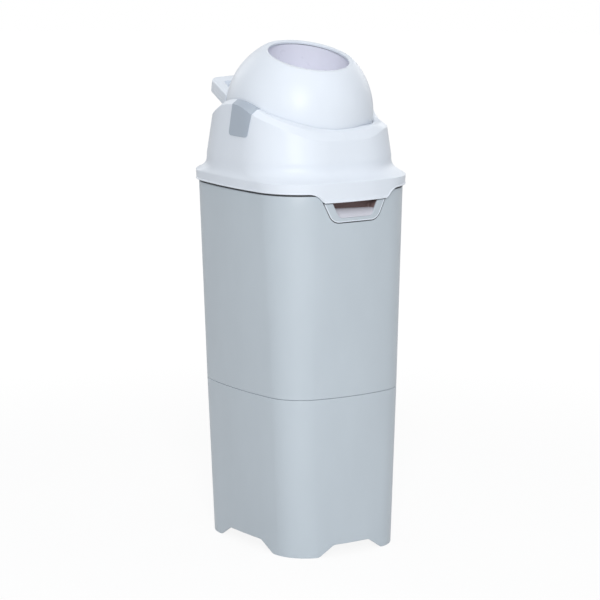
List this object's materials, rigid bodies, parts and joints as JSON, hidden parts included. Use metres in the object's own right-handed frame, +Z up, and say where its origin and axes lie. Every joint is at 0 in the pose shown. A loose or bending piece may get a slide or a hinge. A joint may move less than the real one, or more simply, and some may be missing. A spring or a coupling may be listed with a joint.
{
  "type": "nappy bin",
  "caption": "Tall tapered nappy bin whose hinged head holds a ball-shaped drum; a handle turns the drum over and an inner piston pushes the nappy into the tub.",
  "frame": {"origin": "on the floor, at the middle of the bounding box", "axes": "+Z up; the front with the finger scoop faces -Y; the drum turns about X; the handle rests at the rear, +Y"},
  "size_m": [0.2532, 0.2948, 0.7217],
  "materials": {
    "body_plastic": "satin light blue-grey",
    "head_plastic": "satin cool white",
    "bore_plastic": "satin pale lavender",
    "plate_plastic": "satin grey-green",
    "bush_plastic": "smooth off-white",
    "seal_rubber": "matt dark grey",
    "steel": "plain steel"
  },
  "bodies": {
    "bin": {"tub_lower": "body_plastic", "tub_upper": "body_plastic", "finger_scoop": "body_plastic", "hinge_bracket_left": "body_plastic", "hinge_bracket_right": "body_plastic", "bracket_screws": "steel", "hinge_pin_left": "steel", "hinge_pin_right": "steel"},
    "head": {"head_shell": "head_plastic", "side_plate": "plate_plastic", "head_gasket": "seal_rubber", "drum_seal": "seal_rubber", "bearing_cap_left": "head_plastic", "bearing_cap_right": "head_plastic", "cap_screws": "steel", "axle_bush_left": "bush_plastic", "axle_bush_right": "bush_plastic"},
    "drum": {"drum_half_upper": "head_plastic", "drum_half_lower": "head_plastic", "drum_cylinder": "bore_plastic", "handle_upper": "head_plastic", "handle_lower": "head_plastic", "handle_screws": "steel", "axle_stub_left": "bush_plastic", "axle_stub_right": "bush_plastic"},
    "piston": {"piston_disc": "head_plastic", "piston_wiper_lower": "seal_rubber", "piston_wiper_upper": "seal_rubber"}
  },
  "joints": [
    {"name": "head_open", "type": "hinge", "parent": "bin", "child": "head", "pos_m": [0, 0.1418, 0.5115], "axis": [-1, 0, 0], "range_deg": [0, 100]},
    {"name": "drum_turn", "type": "hinge", "parent": "head", "child": "drum", "pos_m": [0, -0.002, 0.624], "axis": [1, 0, 0], "range_deg": [0, 148]},
    {"name": "piston_slide", "type": "slide", "parent": "drum", "child": "piston", "axis": [0, -0.2756, 0.9613], "range_m": [0, 0.1348]}
  ]
}
